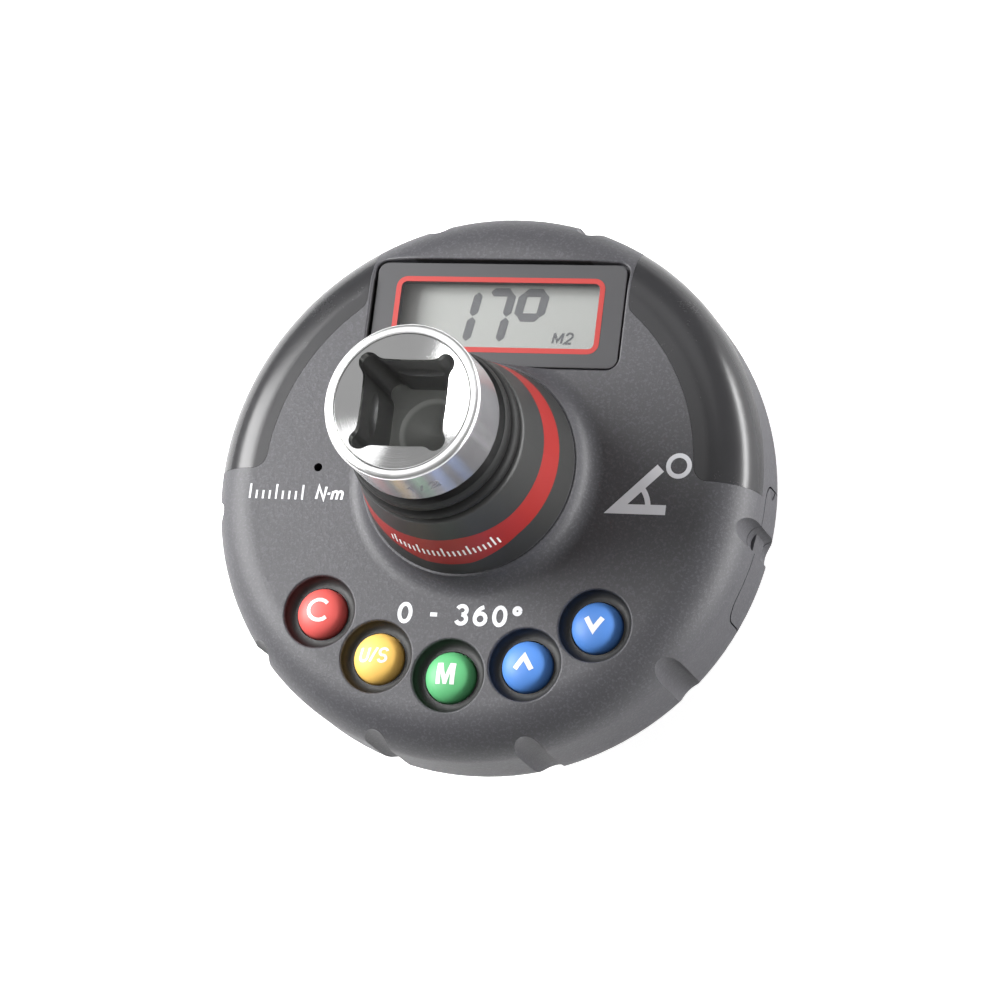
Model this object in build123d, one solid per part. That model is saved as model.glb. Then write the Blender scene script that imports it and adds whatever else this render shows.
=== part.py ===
from build123d import *
import os
from math import cos, radians, sin, sqrt, tan

# Electronic torque and angle adapter for half-inch square drives.
# A steel measuring shaft runs through a round plastic head: female square at the top, male square
# at the bottom. The head carries a display, five buttons, two indicator lenses and a battery tray.
# Millimetres. Z runs along the shaft, the origin is the centre of the male square's tip face,
# +Y points from the shaft to the display and -Y to the buttons.

# Square drives
drive_flats = 12.7            # male square, across flats
drive_length = 15.5           # male square, tip to shoulder
drive_corner_radius = 8.3     # half the size across the rounded corners
drive_tip_chamfer = 1.4
socket_fit = 0.2              # female square is this much wider than the male one
socket_depth = 15.0           # lip to floor
socket_ear_radius = 1.5       # corner relief left by the broach
socket_ear_inset = 0.75       # flat to the relief's centre
socket_ear_blend = 2.0        # round from the relief to the flat
socket_groove_depth = 6.9     # lip to the middle of the detent groove
socket_groove_radius = 2.0
socket_groove_reach = 0.85    # how far the groove bites into each flat
socket_cone_radius = 10.15    # lead-in cone, at the lip
socket_cone_drop = 1.0        # lead-in cone, lip to flat
lip_groove = 0.18             # half width and depth of the fine groove round the cone
pilot_radius = 5.2
pilot_depth = 1.6

# Shaft
barrel_radius = 11.6
barrel_edge_round = 0.7
barrel_foot_rise = 1.3        # taper from the journal to the barrel
neck_journal_radius = 10.8
torsion_radius = 8.0
torsion_flat = 7.0            # axis to each gauge flat
torsion_length = 11.0
rear_journal_radius = 9.0
journal_reveal = 1.5          # rear journal showing below the head
running_fit = 0.05            # radial, shaft in bushes
shaft_edge = 0.4

# Detent ball in the male square
ball_radius = 2.7
ball_height = 8.4             # tip to ball centre
ball_stand_out = 0.9          # beyond the flat
ball_bore_fit = 0.05
ball_bore_end = 3.0           # bore floor beyond the axis
ball_lip = 0.35
ball_lip_gap = 0.3
detent_wire = 0.5
detent_coil_radius = 1.6
detent_pitch = 1.0

# Head
rim_radius = 42.3
head_depth = 24.0
face_round = 7.1
rear_round = 9.5
face_wall = 3.0
side_wall = 2.4
cover_wall = 2.2
inner_round = 3.0
split_depth = 17.0            # face to the joint between housing and cover
spigot_wall = 1.5             # ring of the cover that stands inside the housing
spigot_gap = 0.12
spigot_height = 2.0
spigot_root = 2.5             # below the joint
grip_pitch = 32.7             # degrees between grip grooves
grip_radius = 2.15
grip_depth = 1.75

# Neck
neck_rise = 18.7
neck_wall = 1.0               # round the bush at the neck's top
neck_draft = 12.0             # degrees
flare_round = 3.0
neck_lip_round = 0.8
collar_rise = 3.2             # face to the ledge where the flare ends
collar_ledge = 0.35
collar_round = 0.15
barrel_rise = 35.1            # face to the top of the barrel

# Colour band in the neck
band_low = 7.85
band_high = 12.4
band_thickness = 0.7
band_swell_low = 1.65         # extra width on the button side
band_swell_high = 0.9
band_swell_flat = 3.6         # half width of the swell at its widest
band_swell_foot = 10.4        # half width where the swell starts
band_swell_round = 5.0

# Seal between neck and barrel
seal_foot = 2.5
seal_bead_height = 2.65
seal_low_bead_radius = 12.9
seal_high_bead_radius = 12.35
seal_waist_radius = 12.0
seal_gap = 0.2

# Bushes, washer, retaining ring and key
bush_wall = 1.15
bush_flange = 1.2
bush_flange_radius = 14.5
hub_wall = 1.3                # round the recess of the retaining ring
hub_height = 11.0             # from the back of the head
rear_bush_length = 4.0
washer_thickness = 0.4
ring_thickness = 1.2
ring_width = 3.0
ring_clear = 0.95             # ring to the wall of its recess
ring_groove = 0.8
ring_groove_fit = 0.05
ring_setback = 0.2            # ring below the back face
ring_gap_angle = 34.0
ring_lug_radius = 1.5
ring_lug_hole = 0.75
ring_lug_angle = 8.0          # gap to the middle of a lug
key_width = 3.0
key_length = 4.4
key_sink = 1.2                # into the shaft
key_proud = 1.5               # into the hub
key_fit = 0.05

# Circuit board, 1.6 mm laminate
board_depth = 6.05            # face to the top of the board
board_thickness = 1.6
board_gap = 0.68              # board's edge to the cover's spigot
board_bore = 15.6
boss_step = 0.8

# Chips under the board: place of the middle, and length, width and height
processor_place, processor_size = (-24.5, -10.5), (7.0, 7.0, 1.0)
sensor_place, sensor_size = (0.0, 21.5), (3.0, 3.0, 0.9)
amplifier_place, amplifier_size = (-18.5, 6.0), (5.0, 4.0, 1.4)

# Screws of the head: two beside the display, two between neck and buttons
upper_screw_gap = 3.8         # window's side to the screw
upper_screw_drop = 5.3        # window's middle to the screw
lower_screw_setback = 7.9     # ring of the buttons to the screw
lower_screw_angle = 58.4      # from +X towards -Y
screw_shank = 1.25
screw_head = 2.3
screw_head_height = 1.9
screw_recess = 2.3            # depth of the counterbore in the cover
screw_length = 14.0           # under the head
screw_fit = 0.15
hexagon_share = 0.45          # recess across corners over the head's diameter
thread_fit = 0.05
boss_radius = 2.9
boss_gap = 9.0                # back of the head to the joint of the two bosses
thread_depth = 9.0            # of the screw's hole in the housing
board_screw_setback = 4.6     # from the board's edge
board_screw_angles = [20.0, 185.0]
middle_screw_setback = 10.4   # ring of the buttons to the third screw
board_screw_shank = 0.8
board_screw_head = 1.5
board_screw_length = 3.4
board_boss_radius = 2.0

# Display
window_corner_gap = 3.48      # rim to the window's upper corners
window_rim_gap = 8.85         # rim to its upper edge
window_neck_gap = 0.18        # neck to its lower edge
window_corner = 1.6
window_gap = 0.4
recess_edge_round = 0.3
window_sink = 0.8
window_thickness = 1.2
sight_side = 3.4              # window's side to the opening below it
sight_end = 2.05              # and its upper or lower edge
glass_side = 2.7              # window's side to the glass
glass_end = 1.15
glass_thickness = 1.8
glass_sink = 0.1              # below the inside of the face
frame_wall = 0.6
frame_fit = 0.1
frame_height = 1.9
connector_width = 1.2
connector_inset = 0.5         # shorter than the glass at each end

# Indicator lenses and their lights
lens_width = 8.9              # rim to the inner edge
lens_window_gap = 0.9         # window to the edge beside it
lens_drop = 7.0
lens_thickness = 1.2
lens_corner = 2.4
lens_seam = 0.03
light_inset = 3.0             # inner edge of the lens to the lights
light_angles = [15.0, 32.5, 50.0]
light_hole = 1.5
light_size = (3.0, 1.5, 1.1)

# Buttons, counted from the left
button_names = ["button_clear", "button_units", "button_mode", "button_up", "button_down"]
button_setback = 11.5         # rim to the ring of button centres
button_first_angle = 225.4
button_pitch = 22.0           # degrees
button_radius = 3.83
button_gap = 0.2
button_shoulder = 1.5         # face down to the foot of the dome
button_crown = 0.55           # dome above the face
button_flange = 0.85          # beyond the hole
button_flange_thickness = 0.8
button_stem = 2.2
button_travel = 0.9
button_stop = 0.05
well_radius = 5.5
well_depth = 1.7
well_round = 1.2
well_edge_round = 0.3
contact_radius = 2.0
contact_thickness = 0.1
contact_gap = 0.05            # left when a button is fully pressed
mat_thickness = 0.8
mat_margin = 5.6              # beyond the ring of button centres
mat_end_angle = 10.5
mat_fit = 0.2

# Sound hole and buzzer
sound_setback = 17.4          # rim to the hole
sound_angle = 179.1
sound_radius = 0.65
buzzer_radius = 4.5
buzzer_gap = 0.15
sound_drop = 0.85             # depth of the buzzer's own port

# Battery tray: one moulding with its door, drawn out of the side wall
tray_angle = 349.3
door_top = 9.1                # face to the door's upper edge
door_corner = 3.2
door_thickness = 2.4
door_gap = 0.22
nail_radius = 1.5
nail_height = 4.3             # joint line to the nail notch
nail_depth = 1.4
cell_radius = 10.0
cell_thickness = 3.2
cell_gap = 0.5                # cell to the door, and to the door's sides
cell_cap_edge = 1.2           # can beyond the raised cap
cell_cap_height = 0.5
cell_fit = 0.1
tray_clear = 0.1              # door edge to tray side
tray_lift = 1.05              # joint line to the underside of the tray
tray_floor = 1.1
tray_rim = 0.3                # walls above the cell
tray_end = 1.0
tray_slot = 2.5               # half width of the contact slot
guide_fit = 0.15
guide_wall = 1.2
guide_lip = 0.8
guide_lip_reach = 2.0
guide_headroom = 1.4          # over the tray
guide_setback = 0.3           # from the housing's inner wall
corridor_gap = 0.6            # cover's spigot to the guide
leaf_thickness = 0.25
leaf_width = 3.0
leaf_clear = 0.3
leaf_lift = 0.8               # of the top leaf's free end
leaf_fixed, leaf_bend, leaf_touch, leaf_tip = 7.0, 5.0, 1.0, 3.0    # along the leaf from the cell's middle

# Strain gauges and their cable
gauge_size = (0.2, 5.0, 8.0)
cable_width = 4.0
cable_thickness = 0.15
cable_dip = 0.6               # sag of the cable at the gauge
cable_rise = 1.2              # sag to the bend before the board
cable_near, cable_far = 2.0, 3.0    # gauge to sag, and bend to board bore
cable_edge = 0.6              # clear of the board's bore
cable_step = 0.25             # below the board
cable_overlap = 3.0           # under the board

over = 1.0                    # cutters run this far past what they cut

# Worked-out levels and sizes
socket_half = (drive_flats + socket_fit) / 2
back_z = drive_length + journal_reveal
face_z = back_z + head_depth
inside_z = face_z - face_wall
split_z = face_z - split_depth
neck_z = face_z + neck_rise
collar_z = face_z + collar_rise
top_z = face_z + barrel_rise
board_z = face_z - board_depth
board_low_z = board_z - board_thickness
cover_floor_z = back_z + cover_wall
hub_z = back_z + hub_height
boss_z = back_z + boss_gap
inner_radius = rim_radius - side_wall
spigot_radius = inner_radius - spigot_gap
board_radius = spigot_radius - spigot_wall - board_gap
bush_bore = neck_journal_radius + running_fit
neck_bore = bush_bore + bush_wall
neck_top_radius = neck_bore + neck_wall
neck_foot_radius = neck_top_radius + neck_rise * tan(radians(neck_draft))
rear_bush_bore = rear_journal_radius + running_fit
rear_bush_radius = rear_bush_bore + bush_wall
seal_z = neck_z - seal_foot
seal_top_z = neck_z + 2 * seal_bead_height
barrel_z = seal_top_z + seal_gap
ring_inner = rear_journal_radius - ring_groove + ring_groove_fit
ring_outer = ring_inner + ring_width
hub_recess_radius = ring_outer + ring_clear
hub_radius = hub_recess_radius + hub_wall
ring_z = back_z + ring_setback
washer_z = ring_z + ring_thickness
rear_bush_z = washer_z + washer_thickness
torsion_low_z = hub_z + shaft_edge
torsion_high_z = torsion_low_z + torsion_length
key_z = rear_bush_z + rear_bush_length + key_fit
window_low = neck_foot_radius + window_neck_gap
window_high = rim_radius - window_rim_gap
window_height = window_high - window_low
window_width = 2 * sqrt((rim_radius - window_corner_gap) ** 2 - window_high ** 2)
window_centre = window_low + window_height / 2
sight_width = window_width - 2 * sight_side
sight_height = window_height - 2 * sight_end
glass_width = window_width - 2 * glass_side
glass_height = window_height - 2 * glass_end
lens_side = window_width / 2 + lens_window_gap
lens_inner_radius = rim_radius - lens_width
light_ring = lens_inner_radius + light_inset
cell_place = rim_radius - door_thickness - cell_gap - cell_radius
door_half = cell_radius + cell_gap
button_ring = rim_radius - button_setback
button_angles = [button_first_angle + i * button_pitch for i in range(len(button_names))]
button_hole = button_radius + button_gap
button_flange_radius = button_hole + button_flange
grip_angles = [270 + (i - 2.5) * grip_pitch for i in range(6)] + [90 - grip_pitch / 2, 90 + grip_pitch / 2]
tray_z = split_z + tray_lift
cell_z = tray_z + tray_floor
tray_top_z = cell_z + cell_thickness + tray_rim
tray_half = door_half - tray_clear
tray_inner = cell_place - cell_radius - tray_end
door_z = face_z - door_top
big = 2 * rim_radius


def both_sides(x, y):
    return [(x, y), (-x, y)]


def polar(radius, angle):
    return radius * cos(radians(angle)), radius * sin(radians(angle))


screw_places = both_sides(window_width / 2 + upper_screw_gap, window_centre - upper_screw_drop)
screw_places += both_sides(*polar(button_ring - lower_screw_setback, -lower_screw_angle))
sound_place = polar(rim_radius - sound_setback, sound_angle)
board_screw_places = [polar(board_radius - board_screw_setback, angle) for angle in board_screw_angles]
board_screw_places.append(polar(button_ring - middle_screw_setback, 270))


def turned(corners):
    """Solid of revolution about the shaft from (radius, z, corner round) points."""
    points = [(r, z) for r, z, _ in corners]
    rounds = [corner for _, _, corner in corners]
    return revolve(Plane.XZ * make_face(FilletPolyline(*points, radius=rounds, close=True)), axis=Axis.Z)


def rod(radius, low, high, x=0.0, y=0.0):
    """Upright cylinder between two levels."""
    return Pos(x, y, low) * Cylinder(radius, high - low, align=(Align.CENTER, Align.CENTER, Align.MIN))


def tube(inner, outer, low, high):
    """Upright sleeve about the shaft."""
    return rod(outer, low, high) - rod(inner, low - over, high + over)


def block(x_range, y_range, z_range):
    """Box between two corners."""
    size = [high - low for low, high in (x_range, y_range, z_range)]
    corner = (x_range[0], y_range[0], z_range[0])
    return Pos(*corner) * Box(*size, align=(Align.MIN, Align.MIN, Align.MIN))


def prism(sketch, low, high):
    """Upright extrusion of a plan sketch between two levels."""
    return Pos(0, 0, low) * extrude(sketch, high - low)


def joined(pieces):
    """One shape holding several separate solids."""
    return Compound([solid for piece in pieces for solid in piece.solids()])


def on_tray_axis(shape):
    """Turn a shape drawn along +X to the battery tray's direction."""
    return Rot(0, 0, tray_angle) * shape


def strip(points, shift, width):
    """Bent strip of sheet metal: an (x, z) line thickened by a shift and extruded along Y."""
    back = [(x + shift[0], z + shift[1]) for x, z in reversed(points)]
    outline = Plane.XZ * make_face(Polyline(*points, *back, close=True))
    return Pos(0, width / 2, 0) * extrude(outline, width, dir=(0, -1, 0))


def neck_radius(z):
    """Radius of the neck's cone at a level."""
    return neck_top_radius + (neck_z - z) * tan(radians(neck_draft))


# Outer form of the head, neck included, shared by housing, cover, door and lenses
def head_form():
    form = turned([
        (0, back_z, 0),
        (rim_radius, back_z, rear_round),
        (rim_radius, face_z, face_round),
        (neck_radius(face_z) + collar_ledge, face_z, flare_round),
        (neck_radius(collar_z) + collar_ledge, collar_z, collar_round),
        (neck_radius(collar_z), collar_z, 0),
        (neck_top_radius, neck_z, neck_lip_round),
        (0, neck_z, 0),
    ])
    centre = rim_radius - grip_depth + grip_radius
    for angle in grip_angles:
        form -= rod(grip_radius, back_z - over, face_z + over, *polar(centre, angle))
    return form


def lens_plan(shrink):
    """Plan of the right lens pocket, or of the lens itself when shrunk by the seam."""
    inner = lens_inner_radius + shrink
    ring = Circle(rim_radius + over) - Circle(inner)
    corner = Pos(lens_side + shrink, shrink) * Rectangle(big, big, align=(Align.MIN, Align.MIN))
    plan = ring & corner
    inner_corners = [v for v in plan.vertices() if abs(Vector(*v).length - inner) < over / 100]
    return fillet(inner_corners, lens_corner)


def under_lens():
    """The rounded form that the lenses are seated on."""
    return turned([
        (0, split_z, 0),
        (rim_radius - lens_thickness, split_z, 0),
        (rim_radius - lens_thickness, face_z - lens_thickness, face_round - lens_thickness),
        (0, face_z - lens_thickness, 0),
    ])


def lens_pocket(shrink):
    return prism(lens_plan(shrink), face_z - lens_drop + shrink, face_z + over) - under_lens()


def right_indicator(form):
    return form & lens_pocket(lens_seam)


# Colour band
def band_blank(overcut):
    """Slice of the neck's skin that holds the band."""
    low = face_z + band_low - band_swell_low
    high = face_z + band_high + band_swell_high
    return turned([
        (neck_radius(low) - band_thickness, low, 0),
        (neck_radius(low) + overcut, low, 0),
        (neck_radius(high) + overcut, high, 0),
        (neck_radius(high) - band_thickness, high, 0),
    ])


def band_outline():
    """The band's edges seen from the buttons: straight, with a swell in the middle."""
    low, high = face_z + band_low, face_z + band_high
    level = Pos(0, big, low) * Box(big, 2 * big, band_high - band_low,
                                   align=(Align.CENTER, Align.MAX, Align.MIN))
    swell = FilletPolyline(
        (-band_swell_foot, low), (-band_swell_flat, low - band_swell_low),
        (band_swell_flat, low - band_swell_low), (band_swell_foot, low),
        (band_swell_foot, high), (band_swell_flat, high + band_swell_high),
        (-band_swell_flat, high + band_swell_high), (-band_swell_foot, high),
        radius=[0, band_swell_round, band_swell_round, 0] * 2, close=True)
    return level + extrude(Plane.XZ * make_face(swell), big, dir=(0, -1, 0))


def colour_band(overcut=0.0):
    return band_blank(overcut) & band_outline()


# Battery tray with its door, its cell, guide and contacts, all drawn along +X and then turned
def door_outline(gap):
    """Door seen from the side, in (y, z): square at the joint line, rounded above."""
    half = door_half + gap
    top = door_z + gap
    return FilletPolyline((-half, split_z + door_gap - gap), (half, split_z + door_gap - gap),
                          (half, top), (-half, top),
                          radius=[0, 0, door_corner, door_corner], close=True)


def door_block(gap):
    face = Plane.YZ * make_face(door_outline(gap))
    return on_tray_axis(Pos(inner_radius / 2, 0, 0) * extrude(face, big, dir=(1, 0, 0)))


def nail_notch():
    notch = Plane.YZ * (Pos(door_half, split_z + nail_height) * Circle(nail_radius))
    return on_tray_axis(Pos(rim_radius - nail_depth, 0, 0) * extrude(notch, big, dir=(1, 0, 0)))


def battery_tray(form):
    door = form & door_block(0) - rod(rim_radius - door_thickness, back_z, face_z)
    tray = block((tray_inner, rim_radius - door_thickness), (-tray_half, tray_half), (tray_z, tray_top_z))
    tray -= rod(cell_radius + cell_fit, cell_z, top_z, cell_place)
    tray -= rod(cell_radius / 2, back_z, top_z, cell_place)
    tray -= block((0, cell_place - cell_radius / 2), (-tray_slot, tray_slot), (cell_z, top_z))
    reach = block((0, rim_radius - door_thickness / 2), (-door_half, door_half), (tray_z, tray_top_z))
    link = reach - rod(cell_radius + cell_fit, back_z, top_z, cell_place)
    link -= block((0, cell_place), (-big, big), (back_z, top_z))
    link &= block((0, big), (-tray_half, tray_half), (back_z, top_z))
    inside = rod(rim_radius - door_thickness / 2, back_z, face_z)
    return door + (on_tray_axis(tray + link) & inside) - nail_notch()


def coin_cell():
    rim_z = cell_z + cell_thickness - cell_cap_height
    can = rod(cell_radius, cell_z, rim_z, cell_place)
    cap = rod(cell_radius - cell_cap_edge, rim_z, rim_z + cell_cap_height, cell_place)
    return on_tray_axis(can + cap)


def battery_guide():
    pocket_half = tray_half + guide_fit
    pocket_end = tray_inner - leaf_clear
    outer_half = pocket_half + guide_wall
    ceiling = tray_top_z + guide_headroom
    guide = block((pocket_end - guide_wall, big), (-outer_half, outer_half),
                  (tray_z - guide_fit - guide_lip, board_low_z))
    guide -= block((pocket_end, big + over), (-pocket_half, pocket_half), (tray_z - guide_fit, ceiling))
    lip_half = pocket_half - guide_lip_reach
    guide -= block((pocket_end, big + over), (-lip_half, lip_half), (back_z, tray_z))
    return on_tray_axis(guide) & rod(inner_radius - guide_setback, back_z, face_z)


def battery_contacts():
    ceiling = tray_top_z + guide_headroom
    touch_z = cell_z + cell_thickness + leaf_clear + leaf_thickness
    top_leaf = strip([(cell_place - leaf_fixed, ceiling), (cell_place - leaf_bend, ceiling),
                      (cell_place - leaf_touch, touch_z), (cell_place + leaf_touch, touch_z),
                      (cell_place + leaf_tip, touch_z + leaf_lift - leaf_thickness)],
                     (0, -leaf_thickness), leaf_width)
    edge = cell_place - cell_radius - leaf_clear
    side_leaf = block((edge - leaf_thickness, edge), (-leaf_width / 2, leaf_width / 2),
                      (cell_z + leaf_clear, ceiling))
    return on_tray_axis(joined([top_leaf, side_leaf]))


# Head mouldings
def tray_corridor():
    """Room through the cover's spigot for the tray and its guide."""
    half = door_half + guide_wall + corridor_gap
    return on_tray_axis(block((inner_radius / 2, big), (-half, half), (split_z, face_z)))


def front_housing(form):
    housing = form & rod(big, split_z, neck_z)
    recess = Pos(0, window_centre) * RectangleRounded(
        window_width + 2 * window_gap, window_height + 2 * window_gap, window_corner + window_gap)
    housing = with_soft_edge(housing, prism(recess, face_z - window_sink - window_thickness, collar_z),
                             recess_edge_round)
    for angle in button_angles:
        housing = with_soft_edge(housing, at_button(angle, button_well()), well_edge_round)
    housing -= turned([
        (0, split_z - over, 0),
        (inner_radius, split_z - over, 0),
        (inner_radius, inside_z, inner_round),
        (0, inside_z, 0),
    ])
    for x, y in screw_places:
        housing += rod(boss_radius, boss_z, inside_z, x, y)
        housing += rod(boss_radius + boss_step, board_z, inside_z, x, y)
        housing -= rod(screw_shank + thread_fit, boss_z - over, boss_z + thread_depth, x, y)
    for x, y in board_screw_places:
        housing += rod(board_boss_radius, board_z, inside_z, x, y)
        housing -= rod(board_screw_shank + thread_fit, board_z - over, inside_z, x, y)
    housing -= rod(neck_bore, inside_z - over, neck_z + over)
    housing -= colour_band(overcut=over)
    sight = Pos(0, window_centre) * RectangleRounded(sight_width, sight_height, window_corner)
    housing -= prism(sight, inside_z - over, face_z)
    housing -= rod(sound_radius, inside_z - over, face_z + over, *sound_place)
    for side in (1, -1):
        pocket = lens_pocket(0)
        housing -= pocket if side == 1 else mirror(pocket, Plane.YZ)
        for angle in light_angles:
            x, y = polar(light_ring, angle)
            housing -= rod(light_hole, inside_z - inner_round, face_z, side * x, y)
    housing -= door_block(door_gap)
    housing -= nail_notch()
    return housing


def with_soft_edge(housing, cutter, edge_round):
    """Cut a hollow into the head from above and round the edge that it leaves on the outside."""
    hollow = housing - cutter
    rim = []
    for edge in hollow.edges():
        middle = edge @ 0.5
        over_skin = middle + Vector(0, 0, edge_round / 10)
        if cutter.distance_to(middle) < edge_round / 100 and not housing.is_inside(over_skin):
            rim.append(edge)
    return fillet(rim, edge_round)


def button_well():
    return turned([
        (0, face_z + over, 0),
        (well_radius, face_z + over, 0),
        (well_radius, face_z - well_depth, well_round),
        (button_hole, face_z - well_depth, 0),
        (button_hole, inside_z - over, 0),
        (0, inside_z - over, 0),
    ])


def back_cover(form):
    cover = form & rod(big, back_z, split_z)
    cover -= turned([
        (0, cover_floor_z, 0),
        (inner_radius, cover_floor_z, rear_round - cover_wall),
        (inner_radius, face_z, 0),
        (0, face_z, 0),
    ])
    spigot = tube(spigot_radius - spigot_wall, spigot_radius, split_z - spigot_root, split_z + spigot_height)
    cover += spigot - tray_corridor()
    cover += rod(hub_radius, back_z, hub_z)
    for x, y in screw_places:
        cover += rod(boss_radius, back_z, boss_z, x, y)
        cover -= rod(screw_shank + screw_fit, back_z - over, boss_z + over, x, y)
        cover -= rod(screw_head + screw_fit, back_z - over, back_z + screw_recess, x, y)
    cover -= rod(rear_journal_radius + 2 * running_fit, back_z - over, hub_z + over)
    cover -= rod(rear_bush_radius, back_z, rear_bush_z + rear_bush_length)
    cover -= rod(hub_recess_radius, back_z - over, rear_bush_z)
    cover -= key_block(key_fit, hub_z + over)
    return cover


def key_block(gap, high):
    half = key_width / 2 + gap
    low_y = rear_journal_radius - key_sink - gap
    high_y = rear_journal_radius + key_proud + gap
    return block((-half, half), (low_y, high_y), (key_z - gap, high))


def shaft_key():
    return key_block(0, key_z + key_length)


# Measuring shaft
def drive_shaft():
    shaft = turned([
        (0, drive_length, 0),
        (rear_journal_radius, drive_length, 0),
        (rear_journal_radius, ring_z - ring_groove_fit, 0),
        (rear_journal_radius - ring_groove, ring_z - ring_groove_fit, 0),
        (rear_journal_radius - ring_groove, washer_z, 0),
        (rear_journal_radius, washer_z, 0),
        (rear_journal_radius, torsion_low_z, 0),
        (torsion_radius, torsion_low_z + rear_journal_radius - torsion_radius, 0),
        (torsion_radius, torsion_high_z - (neck_journal_radius - torsion_radius), 0),
        (neck_journal_radius, torsion_high_z, 0),
        (neck_journal_radius, barrel_z, 0),
        (barrel_radius, barrel_z + barrel_foot_rise, barrel_edge_round),
        (barrel_radius, top_z, barrel_edge_round),
        (0, top_z, 0),
    ])
    square = Box(drive_flats, drive_flats, drive_length, align=(Align.CENTER, Align.CENTER, Align.MIN))
    tip = turned([
        (0, 0, 0),
        (drive_corner_radius - drive_tip_chamfer, 0, 0),
        (drive_corner_radius, drive_tip_chamfer, 0),
        (drive_corner_radius, drive_length, 0),
        (0, drive_length, 0),
    ])
    shaft += square & tip
    shaft -= socket_cut()
    for side in (1, -1):
        flat_x = sorted((side * torsion_flat, side * (torsion_radius + over)))
        shaft -= block(flat_x, (-torsion_radius, torsion_radius),
                       (torsion_low_z + shaft_edge, torsion_high_z - shaft_edge))
    shaft -= key_block(key_fit, key_z + key_length + key_fit)
    shaft -= ball_bore()
    return shaft


def socket_cut():
    """Female square with its lead-in cone, corner ears, detent groove and pilot drilling."""
    floor_z = top_z - socket_depth
    plan = Rectangle(2 * socket_half, 2 * socket_half)
    ear = socket_half - socket_ear_inset
    for x in (ear, -ear):
        for y in (ear, -ear):
            plan += Pos(x, y) * Circle(socket_ear_radius)
    on_flats = [v for v in plan.vertices() if abs(max(abs(v.X), abs(v.Y)) - socket_half) < lip_groove / 10]
    plan = fillet(on_flats, socket_ear_blend)
    cut = prism(plan, floor_z, top_z + over)
    cone_depth = socket_cone_drop * socket_cone_radius / (socket_cone_radius - socket_half)
    cut += turned([(0, top_z + over, 0), (socket_cone_radius, top_z + over, 0),
                   (socket_cone_radius, top_z, 0), (0, top_z - cone_depth, 0)])
    cut += turned([(socket_cone_radius - lip_groove, top_z + over, 0),
                   (socket_cone_radius + lip_groove, top_z + over, 0),
                   (socket_cone_radius + lip_groove, top_z, 0),
                   (socket_cone_radius, top_z - 2 * lip_groove, 0),
                   (socket_cone_radius - lip_groove, top_z - lip_groove, 0)])
    groove_centre = socket_half + socket_groove_reach - socket_groove_radius
    cut += Pos(0, 0, top_z - socket_groove_depth) * Torus(groove_centre, socket_groove_radius)
    cut += turned([(0, floor_z + over, 0), (pilot_radius, floor_z + over, 0),
                   (pilot_radius, floor_z, 0), (0, floor_z - pilot_depth, 0)])
    return cut


def along_ball(shape):
    """Stand a shape drawn about +Z at the axis into the ball's bore, which opens towards -Y."""
    return Pos(0, 0, ball_height) * Rot(90, 0, 0) * shape


def ball_bore():
    flat = drive_flats / 2
    bore = rod(ball_radius + ball_bore_fit, -ball_bore_end, flat - ball_lip)
    touch = sqrt((ball_radius + ball_lip_gap) ** 2 - (flat - ball_lip - ball_centre()) ** 2)
    mouth = rod(min(touch, ball_radius - ball_bore_fit), 0, flat + over)
    return along_ball(bore + mouth)


def ball_centre():
    """Shaft axis to ball centre."""
    return drive_flats / 2 + ball_stand_out - ball_radius


def detent_ball():
    return along_ball(Pos(0, 0, ball_centre()) * Sphere(ball_radius))


def detent_spring():
    """Coil between the floor of the bore and the back of the ball."""
    touch = ball_centre() - sqrt(ball_radius ** 2 - detent_coil_radius ** 2)
    low = -ball_bore_end + detent_wire / 2
    height = touch - detent_wire / 2 - low
    path = Pos(0, 0, low) * Helix(detent_pitch, height, detent_coil_radius)
    section = Plane(path @ 0, z_dir=path % 0) * Circle(detent_wire / 2)
    return along_ball(sweep(section, path))


def retaining_ring():
    ring = tube(ring_inner, ring_outer, ring_z, washer_z)
    reach = 2 * ring_outer
    half = radians(ring_gap_angle / 2)
    wedge = Polygon((0, 0), (reach * sin(half), -reach * cos(half)), (-reach * sin(half), -reach * cos(half)),
                    align=None)
    ring -= prism(wedge, back_z - over, washer_z + over)
    for side in (1, -1):
        x, y = polar(ring_outer - ring_lug_radius, 270 + side * (ring_gap_angle / 2 + ring_lug_angle))
        ring += rod(ring_lug_radius, ring_z, washer_z, x, y)
        ring -= rod(ring_lug_hole, back_z - over, washer_z + over, x, y)
    return ring


def thrust_washer():
    return tube(rear_bush_bore, hub_recess_radius - running_fit, washer_z, rear_bush_z)


def rear_bush():
    return tube(rear_bush_bore, rear_bush_radius, rear_bush_z, rear_bush_z + rear_bush_length)


def front_bush():
    sleeve = tube(bush_bore, neck_bore, inside_z, seal_z)
    return sleeve + tube(bush_bore, bush_flange_radius, inside_z - bush_flange, inside_z)


def neck_seal():
    """Rubber ring with a foot in the neck's bore and two round beads above it."""
    foot = Polyline((seal_waist_radius, neck_z), (neck_bore, neck_z), (neck_bore, seal_z),
                    (bush_bore, seal_z), (bush_bore, seal_top_z), (seal_waist_radius, seal_top_z))
    edges = [foot]
    for low, bead in ((neck_z, seal_low_bead_radius), (neck_z + seal_bead_height, seal_high_bead_radius)):
        edges.append(ThreePointArc((seal_waist_radius, low), (bead, low + seal_bead_height / 2),
                                   (seal_waist_radius, low + seal_bead_height)))
    return revolve(Plane.XZ * make_face(edges), axis=Axis.Z)


# Screws
def screw(head, head_height, shank, length):
    """Pan-head screw with a hexagon recess, head up, shoulder at the origin, shank downwards."""
    body = rod(head, 0, head_height) + rod(shank, -length, 0)
    body = fillet(body.edges().filter_by(GeomType.CIRCLE).sort_by(Axis.Z)[-1], head_height / 3)
    return body - prism(RegularPolygon(head * hexagon_share, 6), head_height / 2, head_height + over)


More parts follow.
